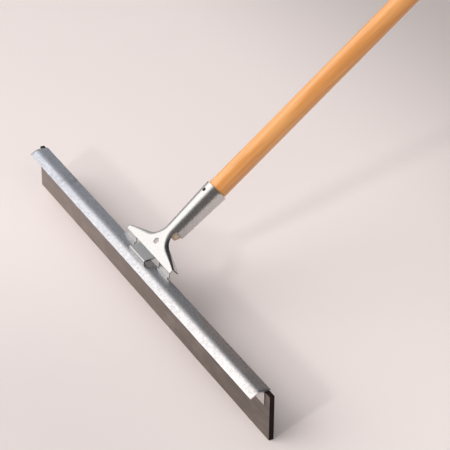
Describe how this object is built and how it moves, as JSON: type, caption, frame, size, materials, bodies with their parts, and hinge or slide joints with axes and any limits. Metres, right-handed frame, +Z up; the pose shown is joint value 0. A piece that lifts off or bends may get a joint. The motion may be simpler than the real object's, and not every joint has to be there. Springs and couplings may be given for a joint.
{
  "type": "floor scraper",
  "caption": "Straight floor scraper: thick rubber blade clamped in a galvanised visor frame, pressed Y-shaped socket bracket and a tapered wooden handle.",
  "frame": {"origin": "middle of the rubber blade's bottom edge, on the floor", "axes": "+X along the blade, +Y toward the handle side, +Z up from the floor"},
  "size_m": [0.61, 1.2678, 1.0099],
  "materials": {
    "blade_rubber": "matt taupe-grey rubber",
    "galvanised_sheet": "galvanised steel with a mottled spangle",
    "zinc_fastener": "dull zinc plate",
    "zinc_plated_sheet": "bright zinc plate with fine draw lines",
    "varnished_wood": "clear-varnished straight-grained hardwood"
  },
  "bodies": {
    "head": {"rubber_blade": "blade_rubber", "squeegee_frame": "galvanised_sheet", "clamp_bar": "galvanised_sheet", "clamp_bolts": "zinc_fastener", "clamp_washers": "zinc_fastener", "clamp_nuts": "zinc_fastener", "socket_bracket": "zinc_plated_sheet"},
    "handle": {"handle": "varnished_wood"}
  },
  "joints": [
    {"name": "handle_draw", "type": "slide", "parent": "head", "child": "handle", "axis": [0, 0.7934, 0.6088], "range_m": [0, 0.12]}
  ]
}
